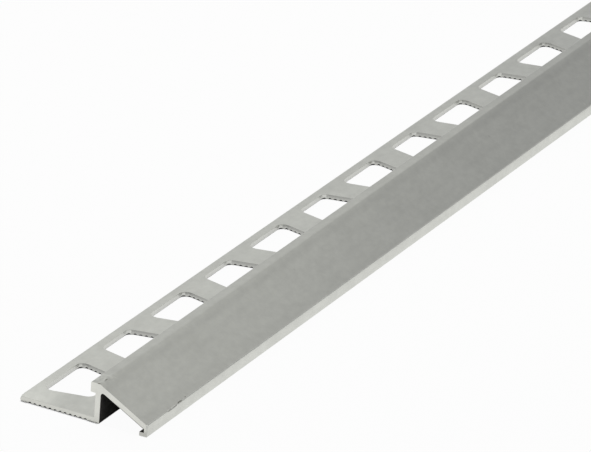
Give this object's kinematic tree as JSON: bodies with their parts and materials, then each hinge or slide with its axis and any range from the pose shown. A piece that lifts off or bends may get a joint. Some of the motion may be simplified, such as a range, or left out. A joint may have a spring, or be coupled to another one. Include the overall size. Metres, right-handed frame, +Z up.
{
  "type": "tile edge trim",
  "caption": "Extruded aluminium ramp trim for a tile edge: ribbed anchor leg with alternating trapezoid holes, upright web with a spacer nub, and a sloping ramp that ends in a hooked nose.",
  "frame": {"origin": "middle of the underside: half way along the bar, half way across its width, on the floor it lies on", "axes": "+X along the bar, away from the end shown in the picture; +Y across it, from the ramp towards the anchor leg; +Z up"},
  "size_m": [1, 0.034, 0.01],
  "materials": {
    "aluminium": "satin mill finish with fine lines along the bar"
  },
  "bodies": {
    "root": {"ramp_trim": "aluminium"}
  },
  "joints": []
}
